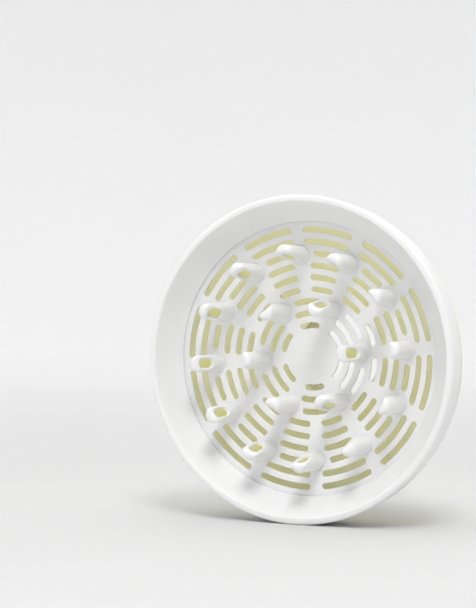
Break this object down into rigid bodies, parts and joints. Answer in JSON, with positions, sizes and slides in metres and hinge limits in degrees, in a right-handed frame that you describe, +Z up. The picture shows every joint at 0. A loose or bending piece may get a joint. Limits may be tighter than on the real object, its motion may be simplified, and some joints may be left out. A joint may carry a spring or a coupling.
{
  "type": "hair dryer diffuser",
  "caption": "Round bowl diffuser for a hair dryer: flared white bowl, dished slotted grille with hollow air prongs, champagne rear shell and a neck that grips the nozzle.",
  "frame": {"origin": "centre of the dryer socket's mouth, in the plane of the neck collar's rear face", "axes": "+Y along the diffuser's axis, out of the socket towards the dryer; the bowl opens towards -Y; +Z up"},
  "size_m": [0.1632, 0.0945, 0.1632],
  "materials": {
    "white_plastic": "satin moulded white",
    "champagne_plastic": "pearl champagne, satin",
    "milky_silicone": "milky matte silicone"
  },
  "bodies": {
    "root": {"front_bowl": "white_plastic", "grille": "white_plastic", "outer_prong_01": "white_plastic", "outer_prong_02": "white_plastic", "outer_prong_03": "white_plastic", "outer_prong_04": "white_plastic", "outer_prong_05": "white_plastic", "outer_prong_06": "white_plastic", "outer_prong_07": "white_plastic", "outer_prong_08": "white_plastic", "outer_prong_09": "white_plastic", "outer_prong_10": "white_plastic", "outer_prong_11": "white_plastic", "outer_prong_12": "white_plastic", "inner_prong_01": "white_plastic", "inner_prong_02": "white_plastic", "inner_prong_03": "white_plastic", "inner_prong_04": "white_plastic", "inner_prong_05": "white_plastic", "inner_prong_06": "white_plastic", "rear_shell": "champagne_plastic", "neck_collar": "champagne_plastic", "grip_ring": "milky_silicone"}
  },
  "joints": []
}
